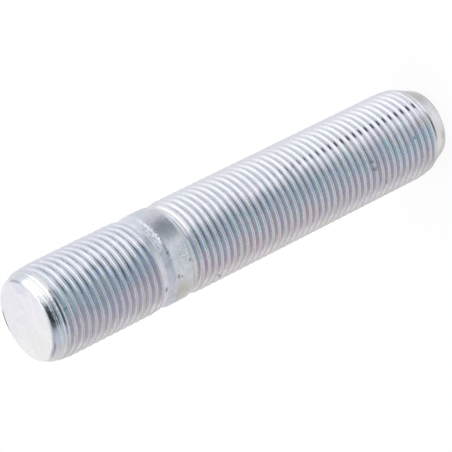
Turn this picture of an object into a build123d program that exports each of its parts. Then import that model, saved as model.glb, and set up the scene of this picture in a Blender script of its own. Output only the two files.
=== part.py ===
from build123d import *
from math import radians, tan
import os

# A double-ended wheel stud, made in one piece from steel bar. The hub end screws into the hub,
# the collar marks how far it goes in, and the nut end passes through the wheel and takes the nut.
# Both ends have an M18 x 1.5 right-hand rolled thread, drawn here as the cylinder over its crests.
# The stud stands on its nut end: that end face is at Z = 0 and the axis is Z.

# Lengths along the axis
overall_length = 94.0
hub_end_length = 26.5  # hub end face to collar, neck included
collar_length = 3.9
hub_neck_length = 3.5  # last full crest of the hub thread to collar
nut_neck_length = 3.0  # collar to first full crest of the nut thread

# Diameter over the thread crests
thread_d = 17.85

# Bevel on each end, its rim at the end face, and the lead behind it, where the crests grow to
# their full height
bevel_angle = 23.0  # from the axis
hub_bevel_depth = 0.98
nut_bevel_depth = 1.9
hub_rim_radius = 0.4
nut_rim_radius = 0.6
lead_rise = 0.28
lead_length = 2.4

# Necks on both sides of the collar: plain bar that the thread dies out on
hub_neck_depth = 0.32  # below the crests
nut_neck_depth = 0.34
hub_runout_length = 1.7
nut_runout_length = 1.6

# Collar: plain bar between the necks, with a soft shoulder down to each
collar_step = 0.05  # below the crests
shoulder_angle = 30.0  # from the axis
hub_shoulder_foot_radius = 1.3
nut_shoulder_foot_radius = 0.35
hub_shoulder_edge_radius = 0.2
nut_shoulder_edge_radius = 0.8

# Radii and heights that follow from the sizes above
crest_r = thread_d / 2
lead_r = crest_r - lead_rise
hub_face_r = lead_r - hub_bevel_depth
nut_face_r = lead_r - nut_bevel_depth
hub_neck_r = crest_r - hub_neck_depth
nut_neck_r = crest_r - nut_neck_depth
collar_r = crest_r - collar_step

bevel_slope = tan(radians(bevel_angle))
shoulder_slope = tan(radians(shoulder_angle))

collar_top = overall_length - hub_end_length
collar_bottom = collar_top - collar_length

nut_bevel_end = nut_bevel_depth / bevel_slope
nut_thread_start = nut_bevel_end + lead_length
nut_thread_end = collar_bottom - nut_neck_length
nut_neck_start = nut_thread_end + nut_runout_length
nut_shoulder = collar_bottom - (collar_r - nut_neck_r) / shoulder_slope

hub_shoulder = collar_top + (collar_r - hub_neck_r) / shoulder_slope
hub_thread_start = collar_top + hub_neck_length
hub_neck_end = hub_thread_start - hub_runout_length
hub_bevel_start = overall_length - hub_bevel_depth / bevel_slope
hub_thread_end = hub_bevel_start - lead_length

# Half of the section, as radius and height, from the nut end face up to the hub end face
nut_end = [
    (0, 0),
    (nut_face_r, 0),
    (lead_r, nut_bevel_end),
    (crest_r, nut_thread_start),
    (crest_r, nut_thread_end),
    (nut_neck_r, nut_neck_start),
    (nut_neck_r, nut_shoulder),
]
collar = [
    (collar_r, collar_bottom),
    (collar_r, collar_top),
]
hub_end = [
    (hub_neck_r, hub_shoulder),
    (hub_neck_r, hub_neck_end),
    (crest_r, hub_thread_start),
    (crest_r, hub_thread_end),
    (lead_r, hub_bevel_start),
    (hub_face_r, overall_length),
    (0, overall_length),
]
rounded_corners = {
    (nut_face_r, 0): nut_rim_radius,
    (nut_neck_r, nut_shoulder): nut_shoulder_foot_radius,
    (collar_r, collar_bottom): nut_shoulder_edge_radius,
    (collar_r, collar_top): hub_shoulder_edge_radius,
    (hub_neck_r, hub_shoulder): hub_shoulder_foot_radius,
    (hub_face_r, overall_length): hub_rim_radius,
}

with BuildPart() as stud:
    with BuildSketch(Plane.XZ) as section:
        with BuildLine():
            Polyline(*nut_end, *collar, *hub_end, close=True)
        make_face()
        for corner, radius in rounded_corners.items():
            fillet(section.vertices().sort_by_distance(corner)[0], radius)
    revolve(axis=Axis.Z)

os.makedirs("parts", exist_ok=True)
export_step(stud.part, "parts/stud.step")
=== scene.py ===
import bmesh
import bpy
from math import atan2, cos, pi, radians, sin, tan
from mathutils import Matrix, Vector


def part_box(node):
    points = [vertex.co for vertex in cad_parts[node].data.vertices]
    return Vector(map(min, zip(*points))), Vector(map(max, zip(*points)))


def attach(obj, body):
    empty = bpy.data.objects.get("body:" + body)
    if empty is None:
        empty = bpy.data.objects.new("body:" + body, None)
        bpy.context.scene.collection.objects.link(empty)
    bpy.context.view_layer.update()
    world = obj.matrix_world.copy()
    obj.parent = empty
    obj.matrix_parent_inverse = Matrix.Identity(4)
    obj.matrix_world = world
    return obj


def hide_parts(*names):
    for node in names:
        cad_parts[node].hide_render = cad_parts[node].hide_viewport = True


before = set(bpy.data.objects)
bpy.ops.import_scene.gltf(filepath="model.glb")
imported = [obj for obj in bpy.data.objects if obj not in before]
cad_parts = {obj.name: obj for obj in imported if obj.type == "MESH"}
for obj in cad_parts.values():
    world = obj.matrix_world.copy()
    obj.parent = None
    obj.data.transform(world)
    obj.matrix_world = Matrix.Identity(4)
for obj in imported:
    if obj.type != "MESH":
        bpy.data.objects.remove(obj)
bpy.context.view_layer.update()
scene = bpy.context.scene
scene.view_settings.view_transform = "Standard"


# Camera. A long lens looks down on the upright stud and is rolled, so that the stud lies across the
# picture from its hub end at the lower left to its nut end at the upper right.
PHOTO_SIZE = 452
SENSOR = 36.0
FOCAL_PIXELS = 3020.0
LOOK_TILT = radians(58.78)
PICTURE_RISE = radians(26.56)
HUB_FACE_PIXEL = Vector((26.45, 321.16))
HUB_FACE_DISTANCE = 29.443  # in diameters over the thread's crests

stud_low, stud_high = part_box("stud")
STUD_HEIGHT = stud_high[2]
CREST_RADIUS = (stud_high[0] - stud_low[0]) / 2
hub_face_depth = HUB_FACE_DISTANCE * 2 * CREST_RADIUS
look = Vector((0, sin(LOOK_TILT), -cos(LOOK_TILT)))
along_stud = Vector((0, -cos(LOOK_TILT), -sin(LOOK_TILT)))
across_stud = Vector((-1, 0, 0))
picture_right = along_stud * cos(PICTURE_RISE) + across_stud * sin(PICTURE_RISE)
picture_down = across_stud * cos(PICTURE_RISE) - along_stud * sin(PICTURE_RISE)
photo_middle = Vector((PHOTO_SIZE / 2, PHOTO_SIZE / 2))
offset = (HUB_FACE_PIXEL - photo_middle) * hub_face_depth / FOCAL_PIXELS
camera_place = (Vector((0, 0, STUD_HEIGHT)) - look * hub_face_depth
                - picture_right * offset.x - picture_down * offset.y)

camera_data = bpy.data.cameras.new("camera")
camera_data.sensor_width = SENSOR
camera_data.lens = FOCAL_PIXELS / PHOTO_SIZE * SENSOR
camera_data.clip_start = 0.01
camera_data.clip_end = 20
camera = bpy.data.objects.new("camera", camera_data)
camera.matrix_world = Matrix.Translation(camera_place) @ Matrix(
    (picture_right, -picture_down, -look)).transposed().to_4x4()
scene.collection.objects.link(camera)
scene.camera = camera


# The stud, first as turned: one steel bar with a bevel and a rounded rim on each end, and a plain
# collar between two shallow necks. Only its plain stretches are made here, as rings about the axis.
# The two threads are rolled into the rest of the bar below.
MM = 0.001
RING_POINTS = 100
BEVEL_ANGLE = radians(23)
HUB_BEVEL_DEPTH = 0.98 * MM
NUT_BEVEL_DEPTH = 1.9 * MM
HUB_RIM_RADIUS = 0.4 * MM
NUT_RIM_RADIUS = 0.6 * MM
LEAD_RISE = 0.28 * MM
LEAD_LENGTH = 2.4 * MM
HUB_END_LENGTH = 26.5 * MM
COLLAR_LENGTH = 3.9 * MM
HUB_NECK_LENGTH = 3.5 * MM
NUT_NECK_LENGTH = 3.0 * MM
HUB_NECK_DEPTH = 0.32 * MM
NUT_NECK_DEPTH = 0.34 * MM
HUB_RUNOUT = 1.7 * MM
NUT_RUNOUT = 1.6 * MM
COLLAR_STEP = 0.05 * MM
SHOULDER_ANGLE = radians(30)
HUB_FOOT_RADIUS = 1.3 * MM
NUT_FOOT_RADIUS = 0.35 * MM
NUT_FOOT_CLEARANCE = 1.5  # of the length that the rounded foot takes up on the neck
HUB_EDGE_RADIUS = 0.2 * MM
NUT_EDGE_RADIUS = 0.8 * MM
ROOT_RADIUS = 8.02 * MM
INNER_RING = 0.5  # share of a face's radius at which its inner ring of points lies

lead_radius = CREST_RADIUS - LEAD_RISE
hub_face_radius = lead_radius - HUB_BEVEL_DEPTH
nut_face_radius = lead_radius - NUT_BEVEL_DEPTH
collar_top = STUD_HEIGHT - HUB_END_LENGTH
collar_bottom = collar_top - COLLAR_LENGTH
hub_neck_radius = CREST_RADIUS - HUB_NECK_DEPTH
nut_neck_radius = CREST_RADIUS - NUT_NECK_DEPTH
collar_radius = CREST_RADIUS - COLLAR_STEP
nut_shoulder = collar_bottom - (collar_radius - nut_neck_radius) / tan(SHOULDER_ANGLE)
hub_shoulder = collar_top + (collar_radius - hub_neck_radius) / tan(SHOULDER_ANGLE)

# The heights at which the plain stretches meet the threads
nut_thread_low = (ROOT_RADIUS - nut_face_radius) / tan(BEVEL_ANGLE)
nut_thread_high = nut_shoulder - NUT_FOOT_CLEARANCE * NUT_FOOT_RADIUS * tan(SHOULDER_ANGLE / 2)
hub_thread_low = collar_top + HUB_NECK_LENGTH - HUB_RUNOUT
hub_thread_high = STUD_HEIGHT - (ROOT_RADIUS - hub_face_radius) / tan(BEVEL_ANGLE)


def rounded(before, corner, after, radius, steps=6):
    """The arc that rounds a corner of the outline, as points of radius and height."""
    to_before = (Vector(before) - Vector(corner)).normalized()
    to_after = (Vector(after) - Vector(corner)).normalized()
    half = to_before.angle(to_after) / 2
    middle = Vector(corner) + (to_before + to_after).normalized() * radius / sin(half)
    first = Vector(corner) + to_before * radius / tan(half) - middle
    last = Vector(corner) + to_after * radius / tan(half) - middle
    turn = atan2(first.cross(last), first.dot(last))
    return [middle + Matrix.Rotation(turn * step / steps, 2) @ first for step in range(steps + 1)]


def turned(mesh, outline):
    """Adds the surface that an outline of radius and height sweeps about the stud's axis."""
    rings = []
    for radius, height in outline:
        if radius == 0:
            rings.append([mesh.verts.new((0, 0, height))])
            continue
        angles = [-pi + 2 * pi * step / RING_POINTS for step in range(RING_POINTS)]
        rings.append([mesh.verts.new((radius * cos(angle), radius * sin(angle), height))
                      for angle in angles])
    for low, high in zip(rings, rings[1:]):
        for here in range(RING_POINTS):
            beside = (here + 1) % RING_POINTS
            if len(low) == 1:
                mesh.faces.new((low[0], high[beside], high[here]))
            elif len(high) == 1:
                mesh.faces.new((low[here], low[beside], high[0]))
            else:
                mesh.faces.new((low[here], low[beside], high[beside], high[here]))


nut_cap = [
    (0, 0),
    (nut_face_radius * INNER_RING, 0),
    *rounded((0, 0), (nut_face_radius, 0), (ROOT_RADIUS, nut_thread_low), NUT_RIM_RADIUS),
    (ROOT_RADIUS, nut_thread_low),
]
neck_and_collar = [
    (nut_neck_radius, nut_thread_high),
    *rounded((nut_neck_radius, nut_thread_high), (nut_neck_radius, nut_shoulder),
             (collar_radius, collar_bottom), NUT_FOOT_RADIUS),
    *rounded((nut_neck_radius, nut_shoulder), (collar_radius, collar_bottom),
             (collar_radius, collar_top), NUT_EDGE_RADIUS),
    *rounded((collar_radius, collar_bottom), (collar_radius, collar_top),
             (hub_neck_radius, hub_shoulder), HUB_EDGE_RADIUS),
    *rounded((collar_radius, collar_top), (hub_neck_radius, hub_shoulder),
             (hub_neck_radius, hub_thread_low), HUB_FOOT_RADIUS),
    (hub_neck_radius, hub_thread_low),
]
hub_cap = [
    (ROOT_RADIUS, hub_thread_high),
    *rounded((ROOT_RADIUS, hub_thread_high), (hub_face_radius, STUD_HEIGHT),
             (0, STUD_HEIGHT), HUB_RIM_RADIUS),
    (hub_face_radius * INNER_RING, STUD_HEIGHT),
    (0, STUD_HEIGHT),
]
turned_bar = bmesh.new()
for outline in (nut_cap, neck_and_collar, hub_cap):
    turned(turned_bar, outline)
stud_mesh = bpy.data.meshes.new("turned_bar")
turned_bar.to_mesh(stud_mesh)
turned_bar.free()
stud = bpy.data.objects.new("turned_bar", stud_mesh)
scene.collection.objects.link(stud)


# The finish: bright zinc plate, put on in a bath once the threads were rolled, under a clear bluish
# passivate. The film is thin, so it shows faint streaks of teal, lilac and rose along the grooves. The
# side of the stud that faces the big screen is painted paler: painted light.
LIT_SIDE_FILM = (0.74, 0.76, 0.805, 1)
BLUE_FILM = (0.578, 0.655, 0.733, 1)
LILAC_FILM = (0.64, 0.62, 0.66, 1)
ROSE_FILM = (0.69, 0.665, 0.67, 1)
TEAL_FILM = (0.60, 0.74, 0.78, 1)
TEAL_TINGE = (0.86, 1.0, 0.98, 1)
LILAC_TINGE = (0.95, 0.89, 1.0, 1)
ROSE_TINGE = (1.0, 0.92, 0.88, 1)
HUB_TINGE = (0.965, 0.98, 1.005, 1)
WHITE = (1, 1, 1, 1)
RAGGED_SIZE = 0.5 * MM
GRAIN_SIZE = 0.16 * MM
WANDER_SIZE = 6 * MM
WANDER = 0.035  # turns by which the colours wander round the stud
HUB_END_TURN = -0.02  # turns by which the colours sit further round on the hub end
STREAK_SIZE = 2.4 * MM

zinc = bpy.data.materials.new("bright zinc plate")
zinc.use_nodes = True
zinc_tree = zinc.node_tree
plate = zinc_tree.nodes["Principled BSDF"]
plate.inputs["Metallic"].default_value = 1


def laid(tree, kind, values=(), **settings):
    """A new node of a tree. Values go to its inputs by name or number, plain or linked."""
    node = tree.nodes.new(kind)
    for name, value in settings.items():
        setattr(node, name, value)
    for socket, value in dict(values).items():
        if isinstance(value, bpy.types.NodeSocket):
            tree.links.new(value, node.inputs[socket])
        else:
            node.inputs[socket].default_value = value
    return node


def lay(kind, values=(), **settings):
    """A new node of the zinc finish."""
    return laid(zinc_tree, kind, values, **settings)


def figure(operation, *values):
    """The result of one operation on plain or linked values."""
    return lay("ShaderNodeMath", enumerate(values), operation=operation).outputs[0]


def product(*factors):
    """The product of linked and plain values."""
    result = factors[0]
    for factor in factors[1:]:
        result = figure("MULTIPLY", result, factor)
    return result


def raised(base, share, extra):
    """The base, with the extra added to it where the share is 1."""
    return figure("MULTIPLY_ADD", share, extra, base)


def between(value, start, end):
    """0 at the start and 1 at the end, smooth between them. The start may be the larger."""
    return lay("ShaderNodeMapRange", {"Value": value, "From Min": start, "From Max": end},
               interpolation_type="SMOOTHSTEP").outputs[0]


def band(value, start, end, blur):
    """1 between two values, 0 outside them, with soft edges."""
    return product(between(value, start - blur / 2, start + blur / 2),
                   between(value, end + blur / 2, end - blur / 2))


def ranged(value, low, high, at_low, at_high):
    """A value that goes evenly from at_low to at_high while the given one goes from low to high."""
    return lay("ShaderNodeMapRange", {"Value": value, "From Min": low, "From Max": high,
                                      "To Min": at_low, "To Max": at_high}).outputs[0]


def tinted(share, under, over, blend="MIX"):
    """The colour under with the share of the colour over it."""
    node = lay("ShaderNodeMix", {0: share, 6: under, 7: over}, data_type="RGBA", blend_type=blend)
    return node.outputs[2]


def stepped(value, *colours):
    """A colour for each value, from pairs of value and colour."""
    ramp = lay("ShaderNodeValToRGB", {"Fac": value})
    stops = ramp.color_ramp.elements
    for stop, (position, colour) in zip(stops, (colours[0], colours[-1])):
        stop.position = position
        stop.color = colour
    for position, colour in colours[1:-1]:
        stops.new(position).color = colour
    return ramp.outputs[0]


on_stud = lay("ShaderNodeTexCoord").outputs["Object"]
xyz = lay("ShaderNodeSeparateXYZ", {0: on_stud}).outputs
up = xyz["Z"]
round_stud = figure("ARCTAN2", xyz["Y"], xyz["X"])
groove_depth = lay("ShaderNodeAttribute", attribute_name="groove depth").outputs["Fac"]


def clouds(size, detail=2.0, stretch=(1, 1, 1)):
    """Noise with clouds of about the given size."""
    place = lay("ShaderNodeMapping", {"Vector": on_stud, "Scale": stretch}).outputs[0]
    return lay("ShaderNodeTexNoise", {"Vector": place, "Scale": 1 / size, "Detail": detail}).outputs[0]


ragged = clouds(RAGGED_SIZE, 3)
grain = clouds(GRAIN_SIZE, 2)


def spot(angle, height, half_width, half_length, edge=0.0):
    """1 in the middle of an oval spot on the bar's side, 0 outside it, ragged by the given edge.

    The angle is in degrees about the axis, the height and the half sizes are in millimetres."""
    around = product(figure("SUBTRACT", round_stud, radians(angle)), CREST_RADIUS / (half_width * MM))
    along = product(figure("SUBTRACT", up, height * MM), 1 / (half_length * MM))
    reach = figure("SQRT", figure("ADD", figure("POWER", around, 2.0), figure("POWER", along, 2.0)))
    if edge:
        reach = raised(reach, figure("SUBTRACT", ragged, 0.5), edge)
    return between(reach, 1, 0.2)


# Places round the stud are in turns: 0 on its lower edge in the picture, 0.5 on its upper edge. The
# pale side, painted light where the stud faces the big screen, is from about 0.3 to 0.62.
on_hub_end = between(up, collar_top - 1.5 * MM, collar_top + 2.5 * MM)
towards_nut_end = between(up, 42 * MM, 8 * MM)
wandering = ranged(clouds(WANDER_SIZE, 2), 0.3, 0.7, -WANDER, WANDER)
turns = raised(figure("ADD", raised(0.5, round_stud, 0.5 / pi), wandering), on_hub_end, HUB_END_TURN)


def side(start, end, blur):
    """1 between two places round the stud, given in turns."""
    return band(turns, start, end, blur)


def patch(heights, places, along=up):
    """1 on a patch of the bar's side.

    Each of its two directions has a start, an end and the blur of its edges: heights in
    millimetres, places in turns."""
    start, end, blur = (height * MM for height in heights)
    return product(band(along, start, end, blur), side(*places))


film_place = raised(turns, towards_nut_end, 0.03)
film_place = raised(film_place, product(between(turns, 0.26, 0.17), on_hub_end), 0.025)
# The film is painted paler on the side that faces the big screen: painted light
film = stepped(film_place, (0.04, ROSE_FILM), (0.14, LILAC_FILM), (0.24, BLUE_FILM), (0.30, LIT_SIDE_FILM),
               (0.62, LIT_SIDE_FILM), (0.74, BLUE_FILM), (0.85, LILAC_FILM), (0.96, ROSE_FILM))
streaks = clouds(STREAK_SIZE, 3, (1, 1, 5))
tinge = stepped(streaks, (0.32, TEAL_TINGE), (0.44, WHITE), (0.52, LILAC_TINGE), (0.58, WHITE),
                (0.68, ROSE_TINGE))
tinge_share = raised(1.0, between(turns, 0.31, 0.38), -0.55)
shade = tinted(tinge_share, film, tinge, "MULTIPLY")
shade = tinted(on_hub_end, shade, HUB_TINGE, "MULTIPLY")
teal_by_bevel = product(spot(-90, 89.3, 4.6, 3.2, 0.4), 0.75)
teal = raised(teal_by_bevel, spot(-93, 82, 5.5, 13, 0.4), 0.2)
shade = tinted(product(teal, between(groove_depth, 0.1, 0.4)), shade, TEAL_FILM)


# Wear, tints, painted highlights and painted shade on the two threads. Below the pale side the dies and
# the bath left the crests warm and grey and the roots violet. On the pale side the flanks carry a painted
# highlight over painted shade in the roots. Depths in a groove are in millimetres.
PITCH = 1.5 * MM
NUT_CREST_HEIGHT = 61.71 * MM  # of one crest of the nut thread, on the side towards +X
HUB_CREST_HEIGHT = 72.25 * MM  # of one crest of the hub thread, on the same side
CREST_TINGE = (1.01, 1.0, 0.91, 1)
FLANK_TINGE = (0.99, 1.0, 1.0, 1)
ROOT_TINGE = (1.0, 0.95, 0.97, 1)
DARK_SHADE_AND_WEAR = (0.12, 0.15, 0.16, 1)
FLANK_HIGHLIGHT_WHITE = (0.91, 0.92, 0.95, 1)
STAIN_AND_SHADE = (0.27, 0.30, 0.35, 1)
FLANK_SHADE = 0.55

across_groove = stepped(groove_depth, (0.05, CREST_TINGE), (0.35, FLANK_TINGE), (0.75, ROOT_TINGE))
shade = tinted(between(turns, 0.31, 0.22), shade, tinted(1.0, shade, across_groove, "MULTIPLY"))

# The height along the helix is the same all along one crest. The place in a pitch is 0 on a crest
# and grows towards the nut end. Both threads lie nearly on one helix.
helix_up = raised(up, round_stud, -PITCH / (2 * pi))
place_in_pitch = figure("FRACT", figure("DIVIDE", figure("SUBTRACT", HUB_CREST_HEIGHT, helix_up), PITCH))

# The crests are worn, most of all low down and beside the pale side
worn = raised(product(between(turns, 0.15, 0.07), 0.24), between(turns, 0.38, 0.42), 0.06)
worn = raised(worn, side(0.22, 0.31, 0.04), 0.13)
worn = raised(worn, product(side(0.262, 0.30, 0.03), between(place_in_pitch, 0.5, 0.3)), 0.3)
worn = raised(worn, side(0.335, 0.40, 0.04), raised(0.09, on_hub_end, 0.07))
shade = tinted(product(between(groove_depth, 0.36, 0.04), worn), shade, DARK_SHADE_AND_WEAR)

# Painted shade at the foot of each flank just below the pale side, most of all on the hub end
low_on_flank = product(between(groove_depth, 0.46, 0.68),
                       raised(1.0, between(groove_depth, 0.76, 0.88), -0.6), side(0.24, 0.318, 0.07))
flank_shade = raised(raised(FLANK_SHADE, on_hub_end, 0.16), towards_nut_end, -0.18)
shade = tinted(product(low_on_flank, flank_shade), shade, DARK_SHADE_AND_WEAR)

# Pale side: painted highlight on the flanks, painted shade in the roots, a little darker on the hub end
flank_highlight = product(band(groove_depth, 0.22, 0.6, 0.12), side(0.285, 0.43, 0.05))
shade = tinted(product(flank_highlight, raised(0.5, on_hub_end, 0.25)), shade, FLANK_HIGHLIGHT_WHITE)
on_hub_thread = band(up, 70.5 * MM, 91 * MM, 0.5 * MM)
shade = tinted(product(on_hub_thread, side(0.36, 0.425, 0.05), 0.1), shade, STAIN_AND_SHADE)
root_shade = product(between(groove_depth, 0.6, 0.8), side(0.34, 0.415, 0.03), between(ragged, 0.3, 0.5))
shade = tinted(product(root_shade, raised(0.28, on_hub_end, 0.26)), shade, DARK_SHADE_AND_WEAR)


# The collar and the necks beside it: plain turned bar, greyer than the threads. The collar has a painted
# dark reflection and a brown stain, the hub neck painted shade and a painted highlight, and the collar's
# shoulder towards the hub end is rough and white.
COLLAR_GREY = (0.66, 0.69, 0.755, 1)
NECK_LILAC = (0.72, 0.715, 0.82, 1)
SHOULDER_BLUE = (0.66, 0.70, 0.78, 1)
PEBBLE_AND_HIGHLIGHT_WHITE = (0.84, 0.85, 0.90, 1)
REFLECTION_LILAC = (0.58, 0.54, 0.62, 1)
STAIN_BROWN = (0.48, 0.44, 0.35, 1)
SHOULDER_FOOT = 69.1 * MM
PEBBLE_SIZE = 0.5 * MM

on_collar = band(up, collar_bottom - 0.05 * MM, hub_thread_low + 0.75 * MM, 0.3 * MM)
shade = tinted(product(on_collar, 0.8), shade, COLLAR_GREY)
on_hub_neck = product(on_collar, between(up, SHOULDER_FOOT - 0.2 * MM, SHOULDER_FOOT + 0.3 * MM))
shade = tinted(product(on_hub_neck, 0.65), shade, NECK_LILAC)
# Painted shade on the hub neck, below the pale side
shade = tinted(product(on_hub_neck, side(0.255, 0.33, 0.05), 0.45), shade, STAIN_AND_SHADE)
# A painted highlight on the hub neck, on the pale side
neck_highlight = product(between(turns, 0.345, 0.385),
                    between(up, SHOULDER_FOOT - 0.3 * MM, SHOULDER_FOOT + 0.3 * MM))
shade = tinted(product(on_collar, neck_highlight, 0.8), shade, PEBBLE_AND_HIGHLIGHT_WHITE)
# More painted shade on the neck by the shoulder
shade = tinted(product(spot(-74, 69.4, 4.5, 2.4), 0.35), shade, STAIN_AND_SHADE)

# A painted dark reflection with a lilac edge beside it, and a brown stain far round the collar
shade = tinted(product(spot(-47, 65.6, 2.8, 4, 0.4), on_collar, 0.6), shade, REFLECTION_LILAC)
above_nut_neck = band(up, 63.5 * MM, collar_top, 0.5 * MM)
shade = tinted(product(spot(-63.5, 65.4, 3.6, 6, 0.5), above_nut_neck, 0.95), shade, STAIN_AND_SHADE)
shade = tinted(product(spot(-151, 66.4, 4.8, 4.0, 0.5), on_collar, 0.65), shade, STAIN_BROWN)

# The rough shoulder, pebbled with white and dark, and a broken dark line on its edge
on_shoulder = band(up, collar_top - 0.1 * MM, SHOULDER_FOOT, 0.5 * MM)
pebbled = product(on_shoulder, side(0.235, 0.385, 0.07))
pebbles = clouds(PEBBLE_SIZE, 3)
shade = tinted(product(on_shoulder, 0.9), shade, PEBBLE_AND_HIGHLIGHT_WHITE)
shade = tinted(product(on_shoulder, side(0.175, 0.37, 0.12)), shade, SHOULDER_BLUE)
shade = tinted(product(pebbled, 0.3), shade, STAIN_AND_SHADE)
shade = tinted(product(pebbled, between(pebbles, 0.53, 0.38), 0.75), shade, PEBBLE_AND_HIGHLIGHT_WHITE)
shade = tinted(product(pebbled, between(pebbles, 0.54, 0.68), 0.4), shade, STAIN_AND_SHADE)
edge_line = product(band(up, collar_top - 0.25 * MM, collar_top + 0.2 * MM, 0.2 * MM),
                    side(0.22, 0.37, 0.06), between(ragged, 0.4, 0.55))
shade = tinted(product(edge_line, 0.8), shade, STAIN_AND_SHADE)


# Pits and scratches, where the stud has been knocked about. Each pit has an angle in degrees, a
# height and a half width in millimetres.
PITS = [
    (-135, 69.6, 0.85), (-124, 66.8, 0.6), (-126, 66.1, 0.4), (-111, 63.7, 0.55), (-159, 56.8, 0.8),
    (-147, 17.3, 0.8), (-92, 67.6, 0.55), (-103, 20.5, 0.5), (-105, 19.6, 0.4), (-115, 19.5, 0.6),
    (-112, 19.1, 0.55), (-101, 8.9, 0.5), (-98, 90.9, 0.55),
]
PIT_LENGTH = 0.7  # share of a pit's width
SCRATCH_SIZE = 0.8 * MM
SPECKLE_SIZE = 0.35 * MM

for angle, height, half_width in PITS:
    pit = spot(angle, height, half_width, half_width * PIT_LENGTH, 0.8)
    shade = tinted(product(pit, 0.9), shade, STAIN_AND_SHADE)
beside_scratch = figure("ABSOLUTE", figure("SUBTRACT", clouds(SCRATCH_SIZE, 2), 0.5))
scratched = product(between(beside_scratch, 0.035, 0.008), spot(-103, 64.9, 3.4, 2.0, 0.5))
shade = tinted(product(scratched, 0.6), shade, STAIN_AND_SHADE)
speckled = product(between(clouds(SPECKLE_SIZE, 4), 0.54, 0.64), spot(-104, 64.7, 4.4, 2.2, 0.5))
shade = tinted(product(speckled, 0.5), shade, STAIN_AND_SHADE)


# Marks that follow the thread, painted light and shade. The nut thread's first crest from the collar has
# a painted highlight on the pale side. Low down the flanks are painted paler, and just above that painted
# shade darkens them on the hub end. Towards the nut end painted shade makes a dark dash in each root.
HIGHLIGHT_WHITE = (0.87, 0.87, 0.88, 1)
ROSY_WHITE = (0.86, 0.82, 0.86, 1)
NEARLY_BLACK = (0.07, 0.09, 0.10, 1)
DASH_START = -66.5  # degrees
DASH_END = -58.5

# A painted highlight along the nut thread's first crest
first_crest_highlight = product(band(helix_up, NUT_CREST_HEIGHT - 0.36 * MM, NUT_CREST_HEIGHT + 0.79 * MM, 0.3 * MM),
                      side(0.30, 0.43, 0.06))
shade = tinted(product(first_crest_highlight, 0.75), shade, HIGHLIGHT_WHITE)
# Painted light: the flanks are paler low down
low_down = raised(product(side(0.06, 0.16, 0.05), on_hub_end, 0.25), side(0.05, 0.115, 0.04), 0.22)
pale_flank = product(low_down, band(place_in_pitch, 0.6, 0.95, 0.12), between(groove_depth, 0.08, 0.2))
shade = tinted(pale_flank, shade, ROSY_WHITE)
# Painted shade on the flanks beside the crests, on the hub thread
by_crest = product(band(place_in_pitch, 0.68, 0.92, 0.12), side(0.13, 0.235, 0.05), on_hub_thread)
shade = tinted(product(by_crest, 0.2), shade, DARK_SHADE_AND_WEAR)
# Painted shade: a dark dash in the root of each turn towards the nut end
depth_from_end = raised(groove_depth, between(up, 8 * MM, 4.5 * MM), 0.2)
dashes = product(band(round_stud, radians(DASH_START), radians(DASH_END), radians(5)),
                 between(depth_from_end, 0.42, 0.62), between(up, 48 * MM, 20 * MM))
shade = tinted(product(dashes, 0.85), shade, NEARLY_BLACK)


# The nut end's bevel: turned before the thread was rolled. It has a grey stain, a cream one and a
# brown one, painted shade along the edge of the thread's first groove and a ragged brown line on its rim.
STAIN_GREY = (0.47, 0.455, 0.455, 1)
STAIN_CREAM = (0.87, 0.845, 0.77, 1)
NUT_BEVEL_MARKS = [  # each with its colour, its share and the values of its spot
    (STAIN_GREY, 0.85, -46, 2.4, 5.2, 3.2, 0.5),
    (ROSY_WHITE, 0.75, -92, 1.5, 4.6, 3.0, 0.3),
    (STAIN_CREAM, 0.6, -124, 2.8, 3.6, 2.2, 0.5),
    # painted shade along the edge of the first groove
    (NEARLY_BLACK, 1.0, -100, 3.66, 5.0, 0.42, 0.4),
    (STAIN_BROWN, 0.8, -121, 1.2, 1.6, 0.6, 0.6),
]

for colour, share, *place in NUT_BEVEL_MARKS:
    shade = tinted(product(spot(*place), share), shade, colour)
nut_rim = product(between(up, 0.7 * MM, 0.4 * MM), between(ragged, 0.36, 0.52))
shade = tinted(product(nut_rim, raised(0.3, side(0.27, 0.42, 0.05), 0.6)), shade, STAIN_BROWN)


# The hub end's bevel and rim, turned like the nut end's: a painted highlight on the pale side, a blotched
# painted dark reflection lower down, and painted dark lines where the thread runs out over the bevel and
# along the rim.
STAIN_BLUE = (0.62, 0.70, 0.79, 1)
DULL_CLOUD_SIZE = 0.45 * MM
BLOTCH_SIZE = 0.6 * MM

# A painted highlight on the bevel's pale side
bevel_highlight = product(between(up, 91.0 * MM, 91.8 * MM), side(0.275, 0.40, 0.04))
shade = tinted(product(bevel_highlight, 0.9), shade, HIGHLIGHT_WHITE)
low_bevel = product(between(up, 91.4 * MM, 92.0 * MM), between(turns, 0.13, 0.09))
shade = tinted(product(low_bevel, 0.3), shade, PEBBLE_AND_HIGHLIGHT_WHITE)
# A painted dark reflection, clouded, on the lower bevel
dark_reflection = product(patch((91.3, 93.3, 0.3), (0.17, 0.285, 0.04)),
                 between(clouds(DULL_CLOUD_SIZE, 3), 0.38, 0.62))
shade = tinted(product(dark_reflection, 0.5), shade, STAIN_AND_SHADE)
# Painted shade in a thin line along the thread's run-out
thin_line = patch((91.93, 92.07, 0.12), (0.29, 0.42, 0.06), helix_up)
shade = tinted(product(thin_line, 0.7), shade, STAIN_AND_SHADE)
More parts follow.
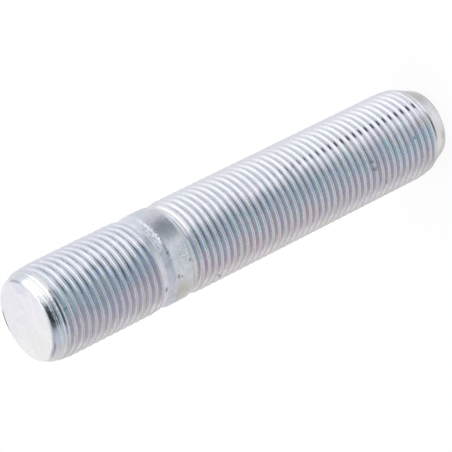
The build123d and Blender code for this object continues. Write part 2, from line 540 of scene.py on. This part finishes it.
# Painted dark reflection: a wide line along the run-out, a line on the rim and blotches
wide_line = patch((91.78, 92.2, 0.2), (0.155, 0.28, 0.05), helix_up)
shade = tinted(product(wide_line, 0.9), shade, NEARLY_BLACK)
blotches = between(clouds(BLOTCH_SIZE, 3), 0.40, 0.55)
rim_line = patch((93.15, 93.8, 0.25), (0.16, 0.27, 0.05))
shade = tinted(product(rim_line, raised(0.42, blotches, 0.5)), shade, NEARLY_BLACK)
bevel_blotch = product(patch((92.5, 93.4, 0.5), (0.155, 0.235, 0.04)), blotches)
shade = tinted(product(bevel_blotch, 0.75), shade, DARK_SHADE_AND_WEAR)
low_rim = patch((93.55, 93.85, 0.15), (0.03, 0.18, 0.04))
shade = tinted(product(low_rim, 0.85), shade, STAIN_AND_SHADE)
blue_patch = product(between(up, 91.4 * MM, 92.4 * MM), side(0.10, 0.185, 0.04))
shade = tinted(product(blue_patch, 0.8), shade, STAIN_BLUE)


# The hub end's face: cut off flat and rubbed bright, white on one side and cream on the other, with
# blue scratches near its rim and wear along it.
FACE_WHITE = (0.84, 0.825, 0.86, 1)
FACE_CREAM = (0.865, 0.86, 0.845, 1)
SCRATCH_BLUE = (0.57, 0.62, 0.74, 1)
SCRATCH_PLACE = (5.9 * MM, -3.3 * MM, STUD_HEIGHT)
FACE_SCRATCH_SIZE = 0.5 * MM
RUB_SIZE = 2.5 * MM

across_face = figure("DIVIDE", xyz["X"], CREST_RADIUS)
face_shade = tinted(between(across_face, 0.4, -0.8), FACE_WHITE, FACE_CREAM)
rubbed = ranged(clouds(RUB_SIZE, 3), 0.35, 0.65, 0.965, 1.02)
face_shade = tinted(1.0, face_shade, rubbed, "MULTIPLY")
from_scratch = lay("ShaderNodeVectorMath", {0: on_stud, 1: SCRATCH_PLACE}, operation="DISTANCE")
face_scratch = product(between(from_scratch.outputs["Value"], 2.6 * MM, 0.8 * MM),
                       between(clouds(FACE_SCRATCH_SIZE, 3, (3, 1, 1)), 0.46, 0.58))
face_shade = tinted(product(face_scratch, 0.85), face_shade, SCRATCH_BLUE)
on_face = between(up, STUD_HEIGHT - 0.25 * MM, STUD_HEIGHT - 0.05 * MM)
shade = tinted(on_face, shade, face_shade)

level_place = lay("ShaderNodeVectorMath", {0: on_stud, 1: (1, 1, 0)}, operation="MULTIPLY").outputs[0]
from_axis = lay("ShaderNodeVectorMath", {0: level_place}, operation="LENGTH").outputs["Value"]
on_rim = between(up, 93.3 * MM, 93.5 * MM)
far_rim = product(between(from_axis, 7.05 * MM, 7.3 * MM), on_rim, side(0.67, 0.75, 0.03))
shade = tinted(product(far_rim, 0.9), shade, NEARLY_BLACK)
near_rim = product(band(from_axis, 7.36 * MM, 7.76 * MM, 0.12 * MM), on_rim)
rim_wear = raised(product(side(0.03, 0.22, 0.05), 0.5), side(0.385, 0.475, 0.03), 0.6)
shade = tinted(product(near_rim, rim_wear), shade, STAIN_AND_SHADE)


# The skin of the plate: fine crystals that mottle it, and roughen it on the collar, on the pale
# shoulder and on the sawn face. They are too small for the mesh.
MOTTLE_SIZE = 1.4 * MM
ROUGH_PATCH_SIZE = 0.9 * MM
RIPPLE_SIZE = 0.7 * MM
PEBBLE_BUMP_SIZE = 0.4 * MM
BUMP_HEIGHT = 0.02 * MM

mottled = ranged(clouds(MOTTLE_SIZE, 3), 0.35, 0.65, 0.93, 1.05)
shade = tinted(on_collar, shade, tinted(1.0, shade, mottled, "MULTIPLY"))
shade = tinted(1.0, shade, ranged(grain, 0.3, 0.7, 0.88, 1.05), "MULTIPLY")
zinc_tree.links.new(shade, plate.inputs["Base Color"])

rough = ranged(clouds(ROUGH_PATCH_SIZE, 3), 0.3, 0.7, 0.22, 0.36)
rough = raised(rough, on_collar, 0.10)
rough = raised(rough, figure("SUBTRACT", on_shoulder, pebbled), 0.45)
zinc_tree.links.new(raised(rough, on_face, 0.15), plate.inputs["Roughness"])

relief = raised(clouds(RIPPLE_SIZE, 3, (1, 1, 2)), grain, 0.4)
relief = raised(relief, product(pebbled, 2.0), clouds(PEBBLE_BUMP_SIZE, 2))
bump = lay("ShaderNodeBump", {"Strength": 0.35, "Distance": BUMP_HEIGHT, "Height": relief})
zinc_tree.links.new(bump.outputs[0], plate.inputs["Normal"])


# The two threads, rolled into the bar between flat dies: M18 x 1.5, right hand, rounded roots and
# crests. A groove runs round the bar along one helix. It is cut short by the bevel at the end face
# and dies out in the neck by the collar.
ROWS_PER_PITCH = 16
SPARE_PITCHES = 3  # so that the leaning grid covers both ends of its stretch
PITCHES_UP = 1000  # added to heights, so that none is below 0
CREST_FLAT = 0.34 * MM
THREAD_DEPTH = CREST_RADIUS - ROOT_RADIUS
FLANK_SLOPE = tan(radians(60))
CREST_ROUNDING = 0.28 * MM
ROOT_ROUNDING = 0.22 * MM
CLOSING_WALL = 0.3 * MM
WELD_DISTANCE = 0.002 * MM


def rolled_thread_tree():
    """Geometry nodes that add one threaded stretch to the turned bar and join it to its rings."""
    tree = bpy.data.node_groups.new("rolled thread", "GeometryNodeTree")
    sizes = {}
    tree.interface.new_socket("Turned bar", in_out="INPUT", socket_type="NodeSocketGeometry")
    for name in ("Pitch", "Crest radius", "Depth", "Crest flat", "Crest rounding", "Root rounding",
                 "Low", "High", "Crest height", "End face", "Away from end face", "Reach",
                 "Bevel length", "Bevel depth", "Lead length", "Lead rise", "Neck start", "Run-out",
                 "Neck depth", "Groove end", "Groove fade", "Closing wall", "First groove",
                 "Groove growth", "Lip rise", "Lip width", "Lip end"):
        sizes[name] = tree.interface.new_socket(name, in_out="INPUT", socket_type="NodeSocketFloat")
    sizes["Finish"] = tree.interface.new_socket(
        "Finish", in_out="INPUT", socket_type="NodeSocketMaterial")
    tree.interface.new_socket("Threaded stud", in_out="OUTPUT", socket_type="NodeSocketGeometry")
    given = laid(tree, "NodeGroupInput").outputs

    def work(operation, *values):
        return laid(tree, "ShaderNodeMath", enumerate(values), operation=operation).outputs[0]

    def ramp(value, start, end, at_start, at_end, shape="LINEAR"):
        values = enumerate((value, start, end, at_start, at_end))
        return laid(tree, "ShaderNodeMapRange", values, interpolation_type=shape).outputs[0]

    # A flat grid: along X the turn about the axis, along Y the height
    stretch = work("SUBTRACT", given["High"], given["Low"])
    pitches = work("ADD", work("CEIL", work("DIVIDE", stretch, given["Pitch"])), SPARE_PITCHES)
    rows = work("MULTIPLY", pitches, ROWS_PER_PITCH)
    grid = laid(tree, "GeometryNodeMeshGrid", {
        "Size X": 2 * pi, "Size Y": work("MULTIPLY", pitches, given["Pitch"]),
        "Vertices X": RING_POINTS + 1, "Vertices Y": work("ADD", rows, 1)})
    position = laid(tree, "GeometryNodeInputPosition").outputs[0]
    on_grid = laid(tree, "ShaderNodeSeparateXYZ", {0: position}).outputs
    turn = on_grid["X"]

    # The grid leans by one pitch a turn, so its rows follow the helix, and starts from the crest
    # nearest to the middle of the stretch
    lean = work("MULTIPLY", work("DIVIDE", turn, 2 * pi), given["Pitch"])
    centre = work("MULTIPLY", work("ADD", given["Low"], given["High"]), 0.5)
    to_crest = work("SNAP", work("SUBTRACT", centre, given["Crest height"]), given["Pitch"])
    base = work("ADD", given["Crest height"], to_crest)
    leaning = work("ADD", work("ADD", on_grid["Y"], lean), base)
    height = work("MINIMUM", work("MAXIMUM", leaning, given["Low"]), given["High"])

    # The place across one pitch: 0 on a crest, 0.5 in the middle of the groove
    row_height = work("ADD", on_grid["Y"], work("MULTIPLY", given["Pitch"], PITCHES_UP))
    place = work("FRACT", work("DIVIDE", row_height, given["Pitch"]))
    from_groove = work("MULTIPLY", work("ABSOLUTE", work("SUBTRACT", place, 0.5)), given["Pitch"])
    half_opening = work("MULTIPLY", work("SUBTRACT", given["Pitch"], given["Crest flat"]), 0.5)
    flank = work("MULTIPLY", work("SUBTRACT", half_opening, from_groove), FLANK_SLOPE)
    groove = work("SMOOTH_MIN", work("SMOOTH_MAX", flank, 0, given["Crest rounding"]),
                  given["Depth"], given["Root rounding"])

    # The groove deepens from the end face on. It dies out by the neck, each turn of it as a whole,
    # and ends short of the shoulder
    groove_height = work("SUBTRACT", leaning,
                         work("MULTIPLY", work("SUBTRACT", place, 0.5), given["Pitch"]))
    from_end = work("MULTIPLY", work("SUBTRACT", groove_height, given["End face"]),
                    given["Away from end face"])
    left = ramp(from_end, work("SUBTRACT", given["Groove end"], given["Groove fade"]),
                given["Groove end"], 1, 0, "SMOOTHSTEP")
    along = work("MULTIPLY", work("SUBTRACT", height, given["End face"]), given["Away from end face"])
    open_end = ramp(along, work("SUBTRACT", given["Reach"], given["Closing wall"]),
                    given["Reach"], 1, 0, "SMOOTHSTEP")
    grown = ramp(along, 0, given["Groove growth"], given["First groove"], 1)
    cut = work("MULTIPLY", work("MULTIPLY", groove, grown), work("MULTIPLY", left, open_end))
    threaded = work("SUBTRACT", given["Crest radius"], cut)

    # The bar's own outline: bevel, lead, full crest and the run-out into the neck
    bevel = ramp(along, 0, given["Bevel length"], given["Bevel depth"], 0)
    lead = ramp(along, given["Bevel length"],
                work("ADD", given["Bevel length"], given["Lead length"]), given["Lead rise"], 0)
    neck = ramp(along, given["Neck start"], work("ADD", given["Neck start"], given["Run-out"]),
                0, given["Neck depth"])
    bar = work("SUBTRACT", given["Crest radius"], work("ADD", work("ADD", bevel, lead), neck))

    # The dies push up a thin lip on the bevel, where the next crest would have been
    from_crest = work("SUBTRACT", work("MULTIPLY", given["Pitch"], 0.5), from_groove)
    lip = ramp(from_crest, 0, given["Lip width"], given["Lip rise"], 0, "SMOOTHSTEP")
    on_bevel = ramp(along, given["Lip end"], work("ADD", given["Lip end"], given["Lip width"]), 0, 1)
    before_lead = ramp(along, work("SUBTRACT", given["Bevel length"], given["Lip width"]),
                       given["Bevel length"], 1, 0)
    bar = work("MULTIPLY_ADD", lip, work("MULTIPLY", on_bevel, before_lead), bar)
    radius = work("MINIMUM", bar, threaded)

    # The grid is wrapped round the axis, joined to the turned bar and welded to its rings
    wrapped_place = laid(tree, "ShaderNodeCombineXYZ", {
        "X": work("MULTIPLY", radius, work("COSINE", turn)),
        "Y": work("MULTIPLY", radius, work("SINE", turn)),
        "Z": height})
    depth_note = laid(tree, "GeometryNodeStoreNamedAttribute", {
        "Geometry": grid.outputs["Mesh"], "Name": "groove depth",
        "Value": work("DIVIDE", work("SUBTRACT", bar, radius), MM)})
    wrapped = laid(tree, "GeometryNodeSetPosition", {
        "Geometry": depth_note.outputs["Geometry"], "Position": wrapped_place.outputs[0]})
    joined = laid(tree, "GeometryNodeJoinGeometry", {0: wrapped.outputs[0]})
    tree.links.new(given["Turned bar"], joined.inputs[0])
    welded = laid(tree, "GeometryNodeMergeByDistance", {
        "Geometry": joined.outputs[0], "Distance": WELD_DISTANCE})
    realized = laid(tree, "GeometryNodeRealizeInstances", {0: welded.outputs[0]})
    finished = laid(tree, "GeometryNodeSetMaterial", {
        "Geometry": realized.outputs[0], "Material": given["Finish"]})
    laid(tree, "NodeGroupOutput", {0: finished.outputs[0]})
    return tree, sizes


thread_tree, thread_sizes = rolled_thread_tree()
both_threads = {
    "Pitch": PITCH, "Crest radius": CREST_RADIUS, "Depth": THREAD_DEPTH, "Crest flat": CREST_FLAT,
    "Crest rounding": CREST_ROUNDING, "Root rounding": ROOT_ROUNDING, "Closing wall": CLOSING_WALL,
    "First groove": 0.55, "Groove growth": 3.2 * MM, "Lip rise": 0.10 * MM, "Lip width": 0.26 * MM,
    "Lead length": LEAD_LENGTH, "Lead rise": LEAD_RISE, "Finish": zinc,
}
nut_thread = {
    "Low": nut_thread_low, "High": nut_thread_high, "Crest height": NUT_CREST_HEIGHT,
    "End face": 0.0, "Away from end face": 1.0, "Reach": nut_thread_high,
    "Bevel length": NUT_BEVEL_DEPTH / tan(BEVEL_ANGLE), "Bevel depth": NUT_BEVEL_DEPTH,
    "Neck start": collar_bottom - NUT_NECK_LENGTH, "Run-out": NUT_RUNOUT,
    "Neck depth": NUT_NECK_DEPTH, "Groove end": 63.4 * MM, "Groove fade": 1.2 * MM,
    "Lip end": nut_thread_low + 0.1 * MM,
}
hub_thread = {
    "Low": hub_thread_low, "High": hub_thread_high, "Crest height": HUB_CREST_HEIGHT,
    "End face": STUD_HEIGHT, "Away from end face": -1.0, "Reach": STUD_HEIGHT - hub_thread_low,
    "Bevel length": HUB_BEVEL_DEPTH / tan(BEVEL_ANGLE), "Bevel depth": HUB_BEVEL_DEPTH,
    "Neck start": HUB_END_LENGTH - HUB_NECK_LENGTH, "Run-out": HUB_RUNOUT,
    "Neck depth": HUB_NECK_DEPTH, "Groove end": 24.0 * MM, "Groove fade": 0.6 * MM,
    "Lip end": STUD_HEIGHT - hub_thread_high + 0.03 * MM,
}
for name, own_sizes in (("nut thread", nut_thread), ("hub thread", hub_thread)):
    rolling = stud.modifiers.new(name, "NODES")
    rolling.node_group = thread_tree
    for size, value in {**both_threads, **own_sizes}.items():
        rolling[thread_sizes[size].identifier] = value

bpy.context.view_layer.update()
evaluated = stud.evaluated_get(bpy.context.evaluated_depsgraph_get())
threaded_mesh = bpy.data.meshes.new_from_object(evaluated)
bpy.data.objects.remove(stud)
threaded_stud = bpy.data.objects.new("threaded_stud", threaded_mesh)
scene.collection.objects.link(threaded_stud)
threaded_mesh.shade_smooth()

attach(threaded_stud, "root")
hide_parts("stud")


# The floor: a plain white sweep. The camera and the metal see it as pure white paper with the
# stud's faint shadow on it.
FLOOR_SIZE = 8.0
PAPER_SHADE = (0.92, 0.92, 0.92, 1)
PAPER_GLOW = 0.9

bpy.ops.mesh.primitive_plane_add(size=FLOOR_SIZE)
floor = bpy.context.object
floor.name = "floor"
paper = bpy.data.materials.new("white paper")
paper.use_nodes = True
paper_tree = paper.node_tree
matt_paper = paper_tree.nodes["Principled BSDF"]
matt_paper.inputs["Base Color"].default_value = PAPER_SHADE
matt_paper.inputs["Roughness"].default_value = 1
matt_paper.inputs["Specular IOR Level"].default_value = 0
bright_paper = laid(paper_tree, "ShaderNodeEmission", {"Color": WHITE, "Strength": 1})
ray = laid(paper_tree, "ShaderNodeLightPath").outputs
seen = ray["Is Camera Ray"]
for kind in ("Is Glossy Ray", "Is Transmission Ray"):
    seen = laid(paper_tree, "ShaderNodeMath", {0: seen, 1: ray[kind]}, operation="MAXIMUM").outputs[0]
glow = laid(paper_tree, "ShaderNodeMath", {0: seen, 1: PAPER_GLOW}, operation="MULTIPLY").outputs[0]
paper_mix = laid(paper_tree, "ShaderNodeMixShader", {
    0: glow, 1: matt_paper.outputs[0], 2: bright_paper.outputs[0]})
paper_tree.links.new(paper_mix.outputs[0], paper_tree.nodes["Material Output"].inputs["Surface"])
floor.data.materials.append(paper)


# The studio: a big soft screen to one side of the stud and a dim one to the other, a third one low
# behind it, a cool ceiling and a dark room behind the camera. They are drawn on the sky by direction.
DARK_ROOM = (0.05, 0.05, 0.05, 1)
CEILING = (1.12, 1.22, 1.30, 1)
SIDE_SCREEN = (1.52, 1.52, 1.52, 1)
BACK_SCREEN = (1.02, 1.01, 1.03, 1)
FAR_SCREEN = (0.84, 0.80, 0.84, 1)

studio = bpy.data.worlds.new("studio")
scene.world = studio
studio.use_nodes = True
studio_tree = studio.node_tree
direction = laid(studio_tree, "ShaderNodeTexCoord").outputs["Generated"]


def screen(place, start, end, colour, under, blend="LIGHTEN"):
    """A screen over what is there, that sets in as a direction turns towards the screen's place.

    Its start and end are cosines of the angle between the two."""
    towards = laid(studio_tree, "ShaderNodeVectorMath", {0: direction, 1: Vector(place).normalized()},
                   operation="DOT_PRODUCT").outputs["Value"]
    share = laid(studio_tree, "ShaderNodeMapRange", {
        "Value": towards, "From Min": start, "From Max": end}, interpolation_type="SMOOTHSTEP")
    added = laid(studio_tree, "ShaderNodeMix", {0: share.outputs[0], 6: under, 7: colour},
                 data_type="RGBA", blend_type=blend)
    return added.outputs[2]


light = screen((0, 0, 1), 0.25, 0.95, CEILING, DARK_ROOM)
light = screen((1, 0, 0), 0.0, 0.38, SIDE_SCREEN, light)
light = screen((0, 1, -0.5), -0.22, 0.31, BACK_SCREEN, light, "MIX")
light = screen((-1, 0, 0), 0.45, 0.95, FAR_SCREEN, light)
background = studio_tree.nodes["Background"]
studio_tree.links.new(light, background.inputs["Color"])
background.inputs["Strength"].default_value = 1
